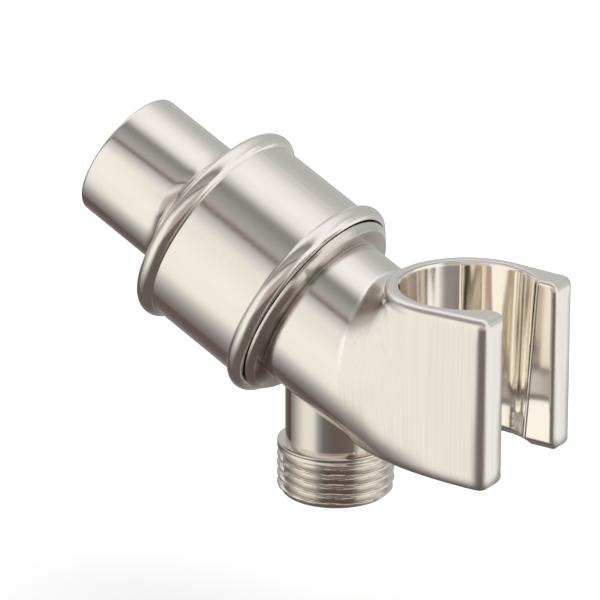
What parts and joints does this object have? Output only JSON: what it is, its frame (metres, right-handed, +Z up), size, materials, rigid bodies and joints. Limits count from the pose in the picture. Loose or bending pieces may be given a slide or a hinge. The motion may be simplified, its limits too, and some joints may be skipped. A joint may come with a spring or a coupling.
{
  "type": "shower arm mount",
  "caption": "Ball-jointed shower arm bracket with a threaded inlet sleeve, a beaded swivel collar, a slotted conical handset cradle and a threaded hose outlet below.",
  "frame": {"origin": "centre of the inlet's mouth, where the shower arm screws in", "axes": "+Z up, +X forward from the shower arm to the front of the cradle, +Y to the part's left; the barrel runs forward and 26.4 degrees down, and the hose outlet points to -Z"},
  "size_m": [0.0908, 0.0398, 0.0649],
  "materials": {
    "brushed_nickel": "brushed nickel plate",
    "polished_nickel": "polished nickel plate",
    "acetal": "smooth",
    "seal_rubber": "matte",
    "strainer": "woven wire"
  },
  "bodies": {
    "inlet": {"inlet_ball": "brushed_nickel", "inlet_washer": "seal_rubber", "inlet_screen": "strainer"},
    "liner": {"ball_liner": "acetal"},
    "seat": {"ball_seat": "acetal", "ball_o_ring": "seal_rubber"},
    "holder": {"holder_body": "brushed_nickel", "outlet_nipple": "polished_nickel", "outlet_o_ring": "seal_rubber", "seat_gasket": "seal_rubber"},
    "collar": {"collar": "brushed_nickel"}
  },
  "joints": [
    {"name": "heading", "type": "hinge", "parent": "inlet", "child": "liner", "pos_m": [0.0275, 0, -0.01365], "axis": [0.8957, 0, -0.4446], "continuous": true},
    {"name": "tilt", "type": "hinge", "parent": "liner", "child": "seat", "pos_m": [0.0275, 0, -0.01365], "axis": [0, 1, 0], "range_deg": [-12, 12]},
    {"name": "spin", "type": "hinge", "parent": "seat", "child": "holder", "pos_m": [0.0275, 0, -0.01365], "axis": [0.8957, 0, -0.4446], "continuous": true},
    {"name": "collar_turn", "type": "hinge", "parent": "holder", "child": "collar", "pos_m": [0.0275, 0, -0.01365], "axis": [0.8957, 0, -0.4446], "range_deg": [-90, 0]}
  ]
}
